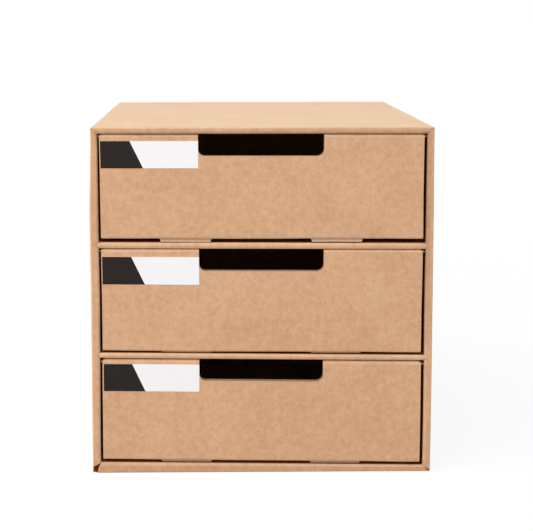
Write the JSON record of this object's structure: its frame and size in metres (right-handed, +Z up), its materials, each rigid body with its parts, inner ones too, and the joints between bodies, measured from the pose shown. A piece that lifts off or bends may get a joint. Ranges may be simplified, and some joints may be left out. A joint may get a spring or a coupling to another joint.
{
  "type": "desk file box with drawers",
  "caption": "Folded corrugated board desk cabinet with sliding drawers, rolled mitred front edges and finger notches, for A4 papers and files.",
  "frame": {"origin": "centre of the underside of the case", "axes": "+X to the right seen from the front, +Y from the front to the back, +Z up; the drawers open towards -Y"},
  "size_m": [0.255, 0.335, 0.26],
  "materials": {
    "kraft_board": "matt brown kraft, faint fibres and flute lines",
    "grey_kraft_board": "matt greyer kraft, the reverse side of the board",
    "label_paper": "smooth white printed paper"
  },
  "bodies": {
    "case": {"case_wrap": "kraft_board", "back_panel": "kraft_board", "left_stiffener": "grey_kraft_board", "right_stiffener": "grey_kraft_board", "base_stiffener": "grey_kraft_board", "lower_shelf": "kraft_board", "upper_shelf": "kraft_board"},
    "top_drawer": {"top_drawer_tray": "kraft_board", "top_drawer_lock_board": "grey_kraft_board", "top_drawer_label": "label_paper"},
    "middle_drawer": {"middle_drawer_tray": "kraft_board", "middle_drawer_lock_board": "grey_kraft_board", "middle_drawer_label": "label_paper"},
    "bottom_drawer": {"bottom_drawer_tray": "kraft_board", "bottom_drawer_lock_board": "grey_kraft_board", "bottom_drawer_label": "label_paper"}
  },
  "joints": [
    {"name": "top_drawer_slide", "type": "slide", "parent": "case", "child": "top_drawer", "axis": [0, -1, 0], "range_m": [0, 0.28]},
    {"name": "middle_drawer_slide", "type": "slide", "parent": "case", "child": "middle_drawer", "axis": [0, -1, 0], "range_m": [0, 0.28]},
    {"name": "bottom_drawer_slide", "type": "slide", "parent": "case", "child": "bottom_drawer", "axis": [0, -1, 0], "range_m": [0, 0.28]}
  ]
}
